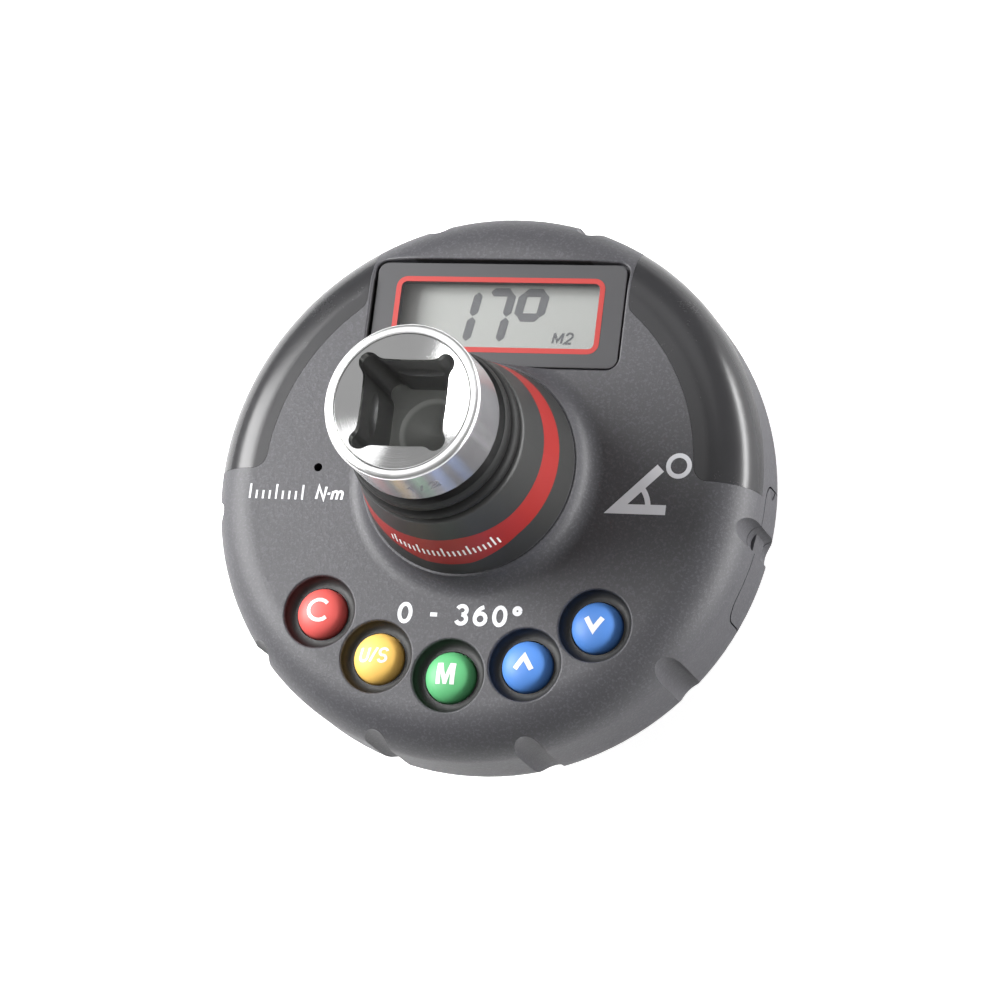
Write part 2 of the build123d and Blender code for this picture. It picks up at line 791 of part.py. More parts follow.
def housing_screws():
    one = screw(screw_head, screw_head_height, screw_shank, screw_length)
    shoulder_z = back_z + screw_recess
    return joined([Pos(x, y, shoulder_z) * Rot(180, 0, 0) * one for x, y in screw_places])


def board_screws():
    one = screw(board_screw_head, board_screw_head / 2, board_screw_shank, board_screw_length)
    return joined([Pos(x, y, board_low_z) * Rot(180, 0, 0) * one for x, y in board_screw_places])


# Electronics
def circuit_board():
    board = tube(board_bore, board_radius, board_low_z, board_z)
    for x, y in screw_places:
        board -= rod(boss_radius + screw_fit, board_low_z - over, board_z + over, x, y)
    for x, y in board_screw_places:
        board -= rod(board_screw_shank + screw_fit, board_low_z - over, board_z + over, x, y)
    return board


def board_chips():
    chips = []
    for (x, y), size in ((processor_place, processor_size), (sensor_place, sensor_size),
                         (amplifier_place, amplifier_size)):
        chips.append(Pos(x, y, board_low_z) * Box(*size, align=(Align.CENTER, Align.CENTER, Align.MAX)))
    return joined(chips)


def display_window():
    outline = Pos(0, window_centre) * RectangleRounded(window_width, window_height, window_corner)
    top = face_z - window_sink
    return prism(outline, top - window_thickness, top)


def display_plate(width, height, low, high):
    return Pos(0, window_centre, low) * Box(width, height, high - low,
                                            align=(Align.CENTER, Align.CENTER, Align.MIN))


def display_glass():
    top = inside_z - glass_sink
    return display_plate(glass_width, glass_height, top - glass_thickness, top)


def display_connectors():
    top = inside_z - glass_sink - glass_thickness
    offset = (glass_height - connector_width) / 2
    strip_solid = display_plate(glass_width - 2 * connector_inset, connector_width, board_z, top)
    return joined([Pos(0, side * offset, 0) * strip_solid for side in (1, -1)])


def display_frame():
    top = board_z + frame_height
    inner_width, inner_height = glass_width + 2 * frame_fit, glass_height + 2 * frame_fit
    outer = display_plate(inner_width + 2 * frame_wall, inner_height + 2 * frame_wall, board_z, top)
    return outer - display_plate(inner_width, inner_height, board_z - over, top + over)


def indicator_lights():
    length, width, height = light_size
    lights = []
    for angle in light_angles + [180 - angle for angle in light_angles]:
        body = block((light_ring - width / 2, light_ring + width / 2), (-length / 2, length / 2),
                     (board_z, board_z + height))
        lights.append(Rot(0, 0, angle) * body)
    return joined(lights)


def buzzer():
    x, y = sound_place
    can = rod(buzzer_radius, board_z, inside_z - buzzer_gap, x, y)
    return can - rod(sound_radius, inside_z - buzzer_gap - sound_drop, inside_z, x, y)


def at_button(angle, shape):
    return Rot(0, 0, angle) * Pos(button_ring, 0, 0) * shape


def button():
    """Domed cap on a stem, held under the face by its flange."""
    shoulder = face_z - button_shoulder
    crown = face_z + button_crown
    flange_top = inside_z - button_stop
    flange_low = flange_top - button_flange_thickness
    stem_low = board_z + contact_thickness + contact_gap + button_travel
    dome = Spline((button_radius, shoulder), (0, crown), tangents=[(0, 1), (-1, 0)])
    sides = Polyline((0, crown), (0, stem_low), (button_stem, stem_low), (button_stem, flange_low),
                     (button_flange_radius, flange_low), (button_flange_radius, flange_top),
                     (button_radius, flange_top), (button_radius, shoulder))
    return revolve(Plane.XZ * make_face([dome, sides]), axis=Axis.Z)


def key_contacts():
    disc = rod(contact_radius, board_z, board_z + contact_thickness)
    return joined([at_button(angle, disc) for angle in button_angles])


def keypad_mat():
    """Rubber sheet under the face, open round the button flanges and the screw bosses."""
    outer, inner = button_ring + mat_margin, button_ring - mat_margin
    sheet = tube(inner, outer, inside_z - mat_thickness, inside_z)
    first, last = button_angles[0] - mat_end_angle, button_angles[-1] + mat_end_angle
    reach = 3 * outer
    middle = (first + last) / 2
    fan = [(0, 0)] + [(reach * cos(radians(a)), reach * sin(radians(a))) for a in (first, middle, last)]
    sheet &= prism(Polygon(*fan, align=None), back_z, face_z)
    for angle in button_angles:
        sheet -= at_button(angle, rod(button_flange_radius + mat_fit, back_z, face_z))
    for x, y in screw_places:
        sheet -= rod(boss_radius + boss_step + mat_fit, back_z, face_z, x, y)
    for x, y in board_screw_places:
        sheet -= rod(board_boss_radius + mat_fit, back_z, face_z, x, y)
    return sheet


# Strain gauges on the two flats, and the cable from one of them to the board
def strain_gauges():
    thickness, width, height = gauge_size
    middle = (torsion_low_z + torsion_high_z) / 2
    gauge = block((torsion_flat, torsion_flat + thickness), (-width / 2, width / 2),
                  (middle - height / 2, middle + height / 2))
    return joined([gauge, mirror(gauge, Plane.YZ)])


def gauge_cable():
    start = torsion_flat + gauge_size[0]
    middle = (torsion_low_z + torsion_high_z) / 2
    dip = middle - gauge_size[2] / 2 + cable_dip
    points = [(start, dip + cable_dip), (start + cable_near, dip), (board_bore - cable_far, dip + cable_rise),
              (board_bore - cable_edge, board_low_z - cable_step), (board_bore + cable_overlap, board_low_z)]
    return mirror(strip(points, (0, -cable_thickness), cable_width), Plane.YZ)


form = head_form()
one_button = button()
right_lens = right_indicator(form)
nodes = {
    "front_housing": front_housing(form),
    "back_cover": back_cover(form),
    "housing_screws": housing_screws(),
    "drive_shaft": drive_shaft(),
    "shaft_key": shaft_key(),
    "front_bush": front_bush(),
    "rear_bush": rear_bush(),
    "thrust_washer": thrust_washer(),
    "retaining_ring": retaining_ring(),
    "neck_seal": neck_seal(),
    "colour_band": colour_band(),
    "right_indicator": right_lens,
    "left_indicator": mirror(right_lens, Plane.YZ),
    "indicator_lights": indicator_lights(),
    "display_window": display_window(),
    "display_glass": display_glass(),
    "display_connectors": display_connectors(),
    "display_frame": display_frame(),
    "circuit_board": circuit_board(),
    "board_chips": board_chips(),
    "board_screws": board_screws(),
    "keypad_mat": keypad_mat(),
    "key_contacts": key_contacts(),
    "buzzer": buzzer(),
    "battery_guide": battery_guide(),
    "battery_contacts": battery_contacts(),
    "battery_tray": battery_tray(form),
    "coin_cell": coin_cell(),
    "strain_gauges": strain_gauges(),
    "gauge_cable": gauge_cable(),
    "detent_ball": detent_ball(),
    "detent_spring": detent_spring(),
}
for name, angle in zip(button_names, button_angles):
    nodes[name] = at_button(angle, one_button)

os.makedirs("parts", exist_ok=True)
for name, shape in nodes.items():
    export_step(shape, f"parts/{name}.step")
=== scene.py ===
from math import cos, pi, radians, sin, sqrt, tan

import bmesh
import bpy
from mathutils import Matrix, Vector


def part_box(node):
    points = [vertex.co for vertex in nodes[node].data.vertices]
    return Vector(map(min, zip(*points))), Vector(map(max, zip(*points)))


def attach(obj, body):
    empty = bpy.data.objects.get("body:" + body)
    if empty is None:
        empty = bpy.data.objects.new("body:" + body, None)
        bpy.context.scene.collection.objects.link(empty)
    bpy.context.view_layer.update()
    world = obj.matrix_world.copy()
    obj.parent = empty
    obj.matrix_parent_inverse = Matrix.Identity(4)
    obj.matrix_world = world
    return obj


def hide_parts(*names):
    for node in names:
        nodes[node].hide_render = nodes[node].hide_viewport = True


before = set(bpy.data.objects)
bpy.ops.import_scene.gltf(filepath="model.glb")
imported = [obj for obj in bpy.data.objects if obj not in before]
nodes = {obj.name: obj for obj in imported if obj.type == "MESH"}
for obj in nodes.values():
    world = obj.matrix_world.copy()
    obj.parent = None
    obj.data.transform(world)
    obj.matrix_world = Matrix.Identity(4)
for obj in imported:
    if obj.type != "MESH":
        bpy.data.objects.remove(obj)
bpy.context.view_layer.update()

metres = 0.001                # everything below is in millimetres until a mesh is finished


def low(node):
    """Lowest corner of one of the frame's nodes, in millimetres."""
    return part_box(node)[0] / metres


def high(node):
    """Highest corner of one of the frame's nodes, in millimetres."""
    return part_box(node)[1] / metres


# Levels and places read from the frame
window_sink = 0.8             # window below the face
face_z = high("display_window").z + window_sink
neck_top_z = high("front_housing").z
barrel_top_z = high("drive_shaft").z
window_y = (low("display_window").y + high("display_window").y) / 2

# Neck cone
neck_top_radius = 13.0
neck_draft = 12.0             # degrees
collar_rise = 3.2             # face to the ledge where the smooth neck starts

# Wells and recess in the face, for their smooth walls with painted shade
sunk_reach = 36.6             # radius that holds them all
sunk_depth = 0.35             # below the face

# Shaft zones, for its finishes
barrel_radius = 11.6
barrel_skin = 0.25            # from the barrel's radius inwards
cone_radius = 10.15           # fine groove between cone and lip
cone_depth = 1.7
lip_depth = 0.4
socket_depth = 15.0
journal_start = 15.6          # height above which the hidden journals are plain steel

# Print
print_thickness = 0.03
print_lift = 0.005
stroke_step = 0.12            # share by which each stroke of a word is thicker than the one before


# Mesh helpers
def merged(mesh_edit):
    """Join corners that touch and turn all faces outwards."""
    bmesh.ops.remove_doubles(mesh_edit, verts=mesh_edit.verts, dist=0.0005)
    bmesh.ops.recalc_face_normals(mesh_edit, faces=mesh_edit.faces)
    return mesh_edit


def moved(mesh_edit, x=0.0, y=0.0, z=0.0, turn=0.0, lean=0.0):
    """Slant, turn about Z and shift a whole mesh."""
    if lean:
        slant = Matrix(((1, tan(radians(lean)), 0), (0, 1, 0), (0, 0, 1)))
        bmesh.ops.transform(mesh_edit, matrix=slant.to_4x4(), verts=mesh_edit.verts)
    if turn:
        bmesh.ops.rotate(mesh_edit, matrix=Matrix.Rotation(radians(turn), 3, "Z"), verts=mesh_edit.verts)
    bmesh.ops.translate(mesh_edit, vec=(x, y, z), verts=mesh_edit.verts)
    return mesh_edit


def joined(mesh_edits):
    """One mesh from several."""
    whole = bmesh.new()
    for part in mesh_edits:
        scratch = bpy.data.meshes.new("scratch")
        part.to_mesh(scratch)
        part.free()
        whole.from_mesh(scratch)
        bpy.data.meshes.remove(scratch)
    return whole


def turned(profile, steps):
    """Spin (radius, z) points about Z."""
    mesh_edit = bmesh.new()
    verts = [mesh_edit.verts.new((r, 0, z)) for r, z in profile]
    edges = [mesh_edit.edges.new(pair) for pair in zip(verts, verts[1:])]
    bmesh.ops.spin(mesh_edit, geom=verts + edges, cent=(0, 0, 0), axis=(0, 0, 1), dvec=(0, 0, 0),
                   angle=2 * pi, steps=steps, use_merge=True, use_duplicate=False)
    return merged(mesh_edit)


def rounded_face(width, height, corner):
    """Flat rectangle with round corners, about the origin."""
    mesh_edit = bmesh.new()
    corners = [(-width / 2, -height / 2, 0), (width / 2, -height / 2, 0),
               (width / 2, height / 2, 0), (-width / 2, height / 2, 0)]
    mesh_edit.faces.new([mesh_edit.verts.new(place) for place in corners])
    bmesh.ops.bevel(mesh_edit, geom=mesh_edit.verts[:], offset=corner, offset_type="OFFSET",
                    affect="VERTICES", segments=10, profile=0.5, material=-1)
    return mesh_edit


def thickened(mesh_edit, thickness, soft_edge=0.0):
    """Extrude flat faces upwards and round their upper edges a little."""
    base = mesh_edit.faces[:]
    grown = bmesh.ops.extrude_face_region(mesh_edit, geom=base)["geom"]
    top = [item for item in grown if isinstance(item, bmesh.types.BMVert)]
    bmesh.ops.translate(mesh_edit, vec=(0, 0, thickness), verts=top)
    merged(mesh_edit)
    if soft_edge:
        rim = [e for e in mesh_edit.edges if e.is_manifold and e.calc_face_angle() > radians(60)
               and min(v.co.z for v in e.verts) > thickness * 0.9]
        bmesh.ops.bevel(mesh_edit, geom=rim, offset=soft_edge, offset_type="OFFSET", affect="EDGES",
                        segments=2, profile=0.5, material=-1)
    return mesh_edit


def plate(width, height, corner, thickness):
    return thickened(rounded_face(width, height, corner), thickness)


def frame_plate(outer, inner, thickness, soft_edge=0.0):
    """Ring between two rectangles with round corners, each a width, a height and a corner."""
    whole = joined([rounded_face(*outer), rounded_face(*inner)])
    bmesh.ops.delete(whole, geom=whole.faces[:], context="FACES_ONLY")
    bmesh.ops.bridge_loops(whole, edges=whole.edges[:])
    return thickened(whole, thickness, soft_edge)


def polygon(points, thickness):
    mesh_edit = bmesh.new()
    mesh_edit.faces.new([mesh_edit.verts.new((x, y, 0)) for x, y in points])
    return thickened(mesh_edit, thickness)


def bow(x, y, radius, first, last, squeeze=1.0, count=14):
    """Points along an arc between two angles, squeezed or stretched across."""
    angles = [radians(first + (last - first) * i / count) for i in range(count + 1)]
    return [(x + radius * squeeze * cos(a), y + radius * sin(a)) for a in angles]


def stroke(points, width, thickness=print_thickness):
    """Flat line of even width through the points, with mitred corners."""
    mesh_edit = bmesh.new()
    sharpest_mitre = 0.4
    places = [Vector(point) for point in points]
    runs = [(b - a).normalized() for a, b in zip(places, places[1:])]
    last_pair = None
    for place, before, after in zip(places, [runs[0]] + runs, runs + [runs[-1]]):
        side = Vector((-before.y - after.y, before.x + after.x)).normalized()
        reach = width / 2 / max(sharpest_mitre, side.dot(Vector((-after.y, after.x))))
        pair = [mesh_edit.verts.new((*(place + side * reach * way), 0)) for way in (1, -1)]
        if last_pair:
            mesh_edit.faces.new((last_pair[0], last_pair[1], pair[1], pair[0]))
        last_pair = pair
    return thickened(mesh_edit, thickness)


# Strokes of the printed signs, for a height of 1: lists of points, and each sign's width
signs = {
    "C": ([bow(0.5, 0.5, 0.5, 42, 318, 1.04)], 0.9),
    "U": ([[(0, 1)] + bow(0.3, 0.3, 0.3, 180, 360) + [(0.6, 1)]], 0.6),
    "S": ([bow(0.29, 0.74, 0.26, 20, 250, 1.05) + bow(0.29, 0.25, 0.25, 75, -165, 1.1)], 0.58),
    "/": ([[(0, -0.04), (0.36, 1.04)]], 0.36),
    "M": ([[(0, 0), (0, 1)], [(0, 1), (0.42, 0.2), (0.84, 1)], [(0.84, 1), (0.84, 0)]], 0.84),
    "N": ([[(0, 0), (0, 1), (0.6, 0), (0.6, 1)]], 0.6),
    "m": ([[(0, 0), (0, 0.66)], [(0, 0.34)] + bow(0.2, 0.44, 0.2, 165, 0) + [(0.4, 0)],
           [(0.4, 0.34)] + bow(0.6, 0.44, 0.2, 165, 0) + [(0.8, 0)]], 0.8),
    ".": ([[(0, 0.36), (0, 0.54)]], 0.0),
    "0": ([bow(0.33, 0.5, 0.5, 0, 360, 0.64, 24)], 0.66),
    "1": ([[(0, 0.72), (0.26, 1), (0.26, 0)]], 0.3),
    "2": ([bow(0.3, 0.7, 0.3, 170, -30) + [(0, 0), (0.62, 0)]], 0.62),
    "3": ([bow(0.27, 0.76, 0.24, 160, -90, 1.1), bow(0.27, 0.26, 0.26, 90, -160, 1.1)], 0.58),
    "6": ([bow(0.31, 0.31, 0.31, 0, 360, 1.0, 20), bow(0.62, 0.31, 0.69, 180, 104, 0.9)], 0.62),
    "-": ([[(0, 0.46), (0.4, 0.46)]], 0.4),
    "o": ([bow(0.17, 0.83, 0.17, 0, 360, 1.0, 20)], 0.34),
    " ": ([], 0.2),
}


def lettering(text, size, weight, slope=0.0, spacing=0.2):
    """Flat printed signs of a given height and stroke weight, centred on the origin. Each stroke is a
    hair thicker than the one before, so that no two crossing surfaces coincide."""
    pieces = []
    inner = size - weight
    x = 0.0
    for sign in text:
        lines, width = signs[sign]
        for line in lines:
            points = [(x + inner * px, inner * py) for px, py in line]
            pieces.append(stroke(points, weight, print_thickness * (1 + stroke_step * len(pieces))))
        x += inner * width + weight + spacing * size
    x -= weight + spacing * size
    return moved(moved(joined(pieces), -x / 2, -inner / 2), lean=slope)


def capital_m(height, width, leg):
    """A bold M with upright legs, as one outline about its middle."""
    half = width / 2
    right = [(0.4 * leg, 0), (half - leg, 0.6 * height), (half - leg, 0), (half, 0), (half, height),
             (half - 1.3 * leg, height)]
    left = [(-x, y) for x, y in reversed(right)]
    return moved(polygon(right + [(0, 0.38 * height)] + left, print_thickness), y=-height / 2)


def wrapped(mesh_edit, azimuth, middle, radius_at):
    """Bend flat print round the axis: its x runs round, its y upwards and its z outwards."""
    for vert in mesh_edit.verts:
        across, z, out = vert.co.x, middle + vert.co.y, vert.co.z
        radius = radius_at(z) + print_lift + out
        angle = radians(azimuth) + across / radius
        vert.co = (radius * cos(angle), radius * sin(angle), z)
    return mesh_edit


def refined(mesh_edit, longest):
    """Split edges until none is longer than a length, so that the mesh can follow a curved surface."""
    bmesh.ops.triangulate(mesh_edit, faces=mesh_edit.faces)
    for _ in range(6):
        long_edges = [e for e in mesh_edit.edges if e.calc_length() > longest]
        if not long_edges:
            break
        bmesh.ops.subdivide_edges(mesh_edit, edges=long_edges, cuts=1)
        bmesh.ops.triangulate(mesh_edit, faces=mesh_edit.faces)
    return mesh_edit


def finished(name, mesh_edit, body, material, smooth_angle=35, replaced=()):
    """Make the object: at the origin, in metres, riding on a body."""
    bmesh.ops.scale(mesh_edit, vec=(metres, metres, metres), verts=mesh_edit.verts)
    mesh = bpy.data.meshes.new(name)
    mesh_edit.to_mesh(mesh)
    mesh_edit.free()
    mesh.polygons.foreach_set("use_smooth", [True] * len(mesh.polygons))
    mesh.set_sharp_from_angle(angle=radians(smooth_angle))
    mesh.materials.append(material)
    piece = bpy.data.objects.new(name, mesh)
    bpy.context.scene.collection.objects.link(piece)
    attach(piece, body)
    if replaced:
        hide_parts(*replaced)
    return piece


# Node helpers
def add(tree, kind, inputs=None, **settings):
    """A shader node with its settings and its inputs, each a value or another node's socket."""
    made = tree.nodes.new("ShaderNode" + kind)
    for key, value in settings.items():
        setattr(made, key, value)
    for key, value in (inputs or {}).items():
        if isinstance(value, bpy.types.NodeSocket):
            tree.links.new(value, made.inputs[key])
        else:
            made.inputs[key].default_value = value
    return made


def maths(tree, operation, first, second=0.0, third=0.0):
    return add(tree, "Math", {0: first, 1: second, 2: third}, operation=operation).outputs[0]


def times(tree, first, second):
    return maths(tree, "MULTIPLY", first, second)


def inverse(tree, mask):
    return maths(tree, "SUBTRACT", 1.0, mask)


def step(tree, value, edge, width):
    """0 below an edge and 1 above it, with a soft width."""
    mapped = add(tree, "MapRange", {0: value, 1: edge - width / 2, 2: edge + width / 2, 3: 0.0, 4: 1.0},
                 interpolation_type="SMOOTHSTEP")
    return mapped.outputs[0]


def until(tree, value, edge, width):
    """1 below an edge and 0 above it, with a soft width."""
    return inverse(tree, step(tree, value, edge, width))


def levels(tree, value, low_value, high_value):
    """A 0 to 1 value spread between two levels."""
    return add(tree, "MapRange", {0: value, 3: low_value, 4: high_value}).outputs[0]


def blended(tree, share, first, second):
    """Colour between two others."""
    made = add(tree, "Mix", {0: share, 6: first, 7: second}, data_type="RGBA")
    return made.outputs[2]


def mottled(tree, pattern, strength, first, second):
    """A colour that a pattern draws towards a second one."""
    return blended(tree, times(tree, pattern, strength), first, second)


def object_place(tree):
    """Object coordinates in millimetres: x, y and z."""
    place = add(tree, "TexCoord").outputs["Object"]
    scaled = add(tree, "VectorMath", {0: place, 3: 1 / metres}, operation="SCALE").outputs[0]
    return add(tree, "SeparateXYZ", {0: scaled}).outputs


def axis_distance(tree, place):
    """Distance from the shaft's axis, for separate coordinates."""
    flat = add(tree, "CombineXYZ", {0: place[0], 1: place[1]})
    return add(tree, "VectorMath", {0: flat.outputs[0]}, operation="LENGTH").outputs["Value"]


def new_group(name, inputs, outputs):
    group = bpy.data.node_groups.new(name, "ShaderNodeTree")
    for label, value in inputs:
        socket = group.interface.new_socket(label, in_out="INPUT", socket_type="NodeSocketFloat")
        socket.default_value = value
    for label in outputs:
        group.interface.new_socket(label, in_out="OUTPUT", socket_type="NodeSocketFloat")
    return group, group.nodes.new("NodeGroupInput"), group.nodes.new("NodeGroupOutput")


def placed(tree, group, value):
    """A group in a material's tree, with its one input set."""
    made = tree.nodes.new("ShaderNodeGroup")
    made.node_tree = group
    made.inputs[0].default_value = value
    return made


# Patterns that the materials share, each with its count per metre
housing_grain = 2600.0
socket_grain = 1500.0
turning_lines = 9000.0
plastic_dust = 140.0
sheet_dust = 150.0
ink_dust = 900.0
display_dust = 2500.0


def moulded_grain():
    """Spark-eroded mould texture: fine bumps, and the light specks they catch."""
    group, given, result = new_group("moulded_grain", [("Grain per metre", housing_grain)],
                                     ["Height", "Speck", "Cloud"])
    place = add(group, "TexCoord").outputs["Object"]
    fine = add(group, "TexNoise", {"Vector": place, "Scale": given.outputs[0], "Detail": 3.0,
                                   "Roughness": 0.65}).outputs["Fac"]
    coarse_scale = times(group, given.outputs[0], 0.45)
    coarse = add(group, "TexVoronoi", {"Vector": place, "Scale": coarse_scale},
                 feature="SMOOTH_F1").outputs["Distance"]
    height = maths(group, "MULTIPLY_ADD", coarse, -0.6, fine)
    speck = step(group, fine, 0.57, 0.14)
    cloud_scale = times(group, given.outputs[0], 0.02)
    cloud = add(group, "TexNoise", {"Vector": place, "Scale": cloud_scale, "Detail": 2.0}).outputs["Fac"]
    group.links.new(height, result.inputs["Height"])
    group.links.new(speck, result.inputs["Speck"])
    group.links.new(cloud, result.inputs["Cloud"])
    return group


def lathe_lines():
    """Fine turning marks round the shaft's axis, and faint smudges."""
    group, given, result = new_group("lathe_lines", [("Lines per metre", turning_lines)],
                                     ["Height", "Smudge"])
    place = add(group, "TexCoord").outputs["Object"]
    split = add(group, "SeparateXYZ", {0: place}).outputs
    along = add(group, "CombineXYZ", {0: axis_distance(group, split), 1: split[2]})
    lines = add(group, "TexNoise", {"Vector": along.outputs[0], "Scale": given.outputs[0], "Detail": 2.0,
                                    "Roughness": 0.6}).outputs["Fac"]
    smudge = add(group, "TexNoise", {"Vector": place, "Scale": 90.0, "Detail": 3.0}).outputs["Fac"]
    group.links.new(lines, result.inputs["Height"])
    group.links.new(smudge, result.inputs["Smudge"])
    return group


def soft_dust():
    """Faint uneven film that makes a smooth surface a little duller in places."""
    group, given, result = new_group("soft_dust", [("Patches per metre", plastic_dust)], ["Film"])
    place = add(group, "TexCoord").outputs["Object"]
    patches = add(group, "TexNoise", {"Vector": place, "Scale": given.outputs[0], "Detail": 4.0,
                                      "Roughness": 0.7}).outputs["Fac"]
    fine_scale = times(group, given.outputs[0], 25.0)
    fine = add(group, "TexNoise", {"Vector": place, "Scale": fine_scale, "Detail": 2.0}).outputs["Fac"]
    group.links.new(maths(group, "MULTIPLY_ADD", fine, 0.35, patches), result.inputs["Film"])
    return group


grain_group = moulded_grain()
lathe_group = lathe_lines()
dust_group = soft_dust()


# Materials
def new_material(name, **fixed):
    """A material with one Principled shader, its fixed values set."""
    material = bpy.data.materials.new(name)
    material.use_nodes = True
    tree = material.node_tree
    shader = tree.nodes["Principled BSDF"]
    for label, value in fixed.items():
        shader.inputs[label.replace("_", " ").title().replace("Ior", "IOR")].default_value = value
    return material, tree, shader


def grey(value, tint=(1.0, 1.0, 1.0)):
    return (value * tint[0], value * tint[1], value * tint[2], 1.0)


def dimmed(colour, share):
    return [c * share for c in colour[:3]] + [1.0]


def painted(tree, shader, colour, roughness):
    """Feed a shader's colour and roughness."""
    tree.links.new(colour, shader.inputs["Base Color"])
    tree.links.new(roughness, shader.inputs["Roughness"])


def bumped(tree, shader, height, distance, strength=1.0):
    """Feed a shader's bumps, with their distance in millimetres."""
    bump = add(tree, "Bump", {"Height": height, "Distance": distance * metres, "Strength": strength})
    tree.links.new(bump.outputs[0], shader.inputs["Normal"])


def housing_plastic():
    """Dark grey moulded plastic: sparked on head and cover, smooth and darker on the neck, with painted
    shade in the button wells and the window recess.
    """
    material, tree, shader = new_material("housing_plastic", specular_ior_level=0.45)
    violet_tint = (1.0, 0.985, 1.11)
    neck_tint = (1.0, 1.01, 0.99)
    place = object_place(tree)
    grain = placed(tree, grain_group, housing_grain)
    cloud = grain.outputs["Cloud"]
    neck = step(tree, place[2], face_z + collar_rise + 0.1, 0.1)
    # Painted shade: the walls of the button wells and the window recess, below the face, are drawn nearly
    # black
    inside = until(tree, axis_distance(tree, place), sunk_reach, 0.1)
    recess_shade = times(tree, inside, until(tree, place[2], face_z - sunk_depth, 0.1))
    colour = blended(tree, grain.outputs["Speck"], grey(0.050, violet_tint), grey(0.074, violet_tint))
    colour = mottled(tree, cloud, 0.25, colour, grey(0.07))
    colour = blended(tree, neck, colour, grey(0.021, neck_tint))
    colour = blended(tree, recess_shade, colour, grey(0.018))
    rough = maths(tree, "MULTIPLY_ADD", neck, -0.04, levels(tree, cloud, 0.46, 0.58))
    painted(tree, shader, colour, rough)
    height = times(tree, grain.outputs["Height"], maths(tree, "MULTIPLY_ADD", neck, -0.9, 1.0))
    bumped(tree, shader, height, 0.06, 0.6)
    return material


def smooth_plastic(name, colour, roughness, peel=0.004, specular=0.5):
    """Plain moulded plastic with a faint orange peel and film of dust."""
    material, tree, shader = new_material(name, specular_ior_level=specular)
    film = placed(tree, dust_group, plastic_dust).outputs[0]
    dusty = [min(1.0, c * 1.5 + 0.01) for c in colour[:3]] + [1.0]
    painted(tree, shader, mottled(tree, film, 0.16, colour, dusty),
            levels(tree, film, roughness * 0.85, roughness * 1.2))
    bumped(tree, shader, film, peel)
    return material


def turned_metal(name, colour, roughness):
    """Metal with turning marks and faint smudges."""
    material, tree, shader = new_material(name, metallic=1.0)
    lathe = placed(tree, lathe_group, turning_lines)
    smudge = lathe.outputs["Smudge"]
    painted(tree, shader, mottled(tree, smudge, 0.3, colour, dimmed(colour, 0.82)),
            levels(tree, smudge, roughness * 0.75, roughness * 1.25))
    bumped(tree, shader, lathe.outputs["Height"], 0.002)
    return material


def shaft_steel():
    """One steel piece: bright turned lip and cone with painted shade in the fine groove between them,
    satin barrel, dull socket with painted shade on its walls and in its pilot hole and a floor painted
    lighter as if lit, plain journals.
    """
    material, tree, shader = new_material("shaft_steel", anisotropic=0.5, anisotropic_rotation=0.25)
    satin_tint = (0.98, 0.97, 1.0)
    bottom_tint = (1.0, 1.02, 0.98)
    place = object_place(tree)
    z = place[2]
    radius = axis_distance(tree, place)
    around = add(tree, "CombineXYZ", {0: times(tree, place[1], -1.0), 1: place[0]})
    tree.links.new(around.outputs[0], shader.inputs["Tangent"])
    lathe = placed(tree, lathe_group, turning_lines)
    grain = placed(tree, grain_group, socket_grain)
    smudge = lathe.outputs["Smudge"]
    cloud = grain.outputs["Cloud"]

    # Zones
    floor_z = barrel_top_z - socket_depth
    lip_z = barrel_top_z - lip_depth
    above_head = step(tree, z, face_z + 2, 1.0)
    inside_cone = until(tree, radius, cone_radius - 0.1, 0.1)
    below_cone = until(tree, z, barrel_top_z - cone_depth, 0.2)
    socket = times(tree, times(tree, inside_cone, below_cone), above_head)
    socket_floor = until(tree, z, floor_z + 0.2, 0.2)
    pilot_shade = until(tree, z, floor_z - 0.2, 0.2)
    outside = step(tree, radius, barrel_radius - barrel_skin, 0.2)
    below_lip = until(tree, z, lip_z - 0.1, 0.3)
    wall = times(tree, times(tree, outside, below_lip), above_head)
    journal = times(tree, inverse(tree, above_head), step(tree, z, journal_start, 0.4))
    lip = times(tree, step(tree, radius, cone_radius, 0.1), step(tree, z, lip_z, 0.2))
    from_groove = maths(tree, "ABSOLUTE", maths(tree, "SUBTRACT", radius, cone_radius))
    groove_shade = times(tree, until(tree, from_groove, 0.08, 0.06), step(tree, z, lip_z, 0.1))

    # Colours
    colour = mottled(tree, smudge, 0.3, grey(0.88), grey(0.72))
    colour = blended(tree, lip, colour, grey(0.78))
    # Painted shade along the fine groove between the cone and the lip
    colour = blended(tree, groove_shade, colour, grey(0.3))
    colour = blended(tree, journal, colour, blended(tree, cloud, grey(0.52), grey(0.44)))
    satin = mottled(tree, smudge, 0.3, grey(0.70, satin_tint), grey(0.56, satin_tint))
    colour = blended(tree, wall, colour, satin)
    # Painted light and shade in the socket: its walls darker as shade, its floor lighter as if lit, and
    # its pilot hole darker as shade
    shaded_sides = blended(tree, cloud, grey(0.34), grey(0.13))
    lit_floor_shaded_hole = blended(tree, pilot_shade, grey(0.58, bottom_tint), grey(0.32, bottom_tint))
    colour = blended(tree, socket, colour, blended(tree, socket_floor, shaded_sides, lit_floor_shaded_hole))

    # Gloss
    metal = maths(tree, "MULTIPLY_ADD", wall, -0.08, 1.0)
    metal = maths(tree, "MULTIPLY_ADD", socket, -0.45, metal)
    tree.links.new(metal, shader.inputs["Metallic"])
    rough = levels(tree, smudge, 0.12, 0.18)
    for zone, more in ((socket, 0.25), (lip, 0.15), (wall, 0.11), (journal, 0.2)):
        rough = maths(tree, "MULTIPLY_ADD", zone, more, rough)
    painted(tree, shader, colour, rough)
    height = times(tree, lathe.outputs["Height"], maths(tree, "MULTIPLY_ADD", wall, -0.7, 1.0))
    rugged = times(tree, grain.outputs["Height"], socket)
    bumped(tree, shader, maths(tree, "MULTIPLY_ADD", rugged, 3.0, height), 0.010)
    return material


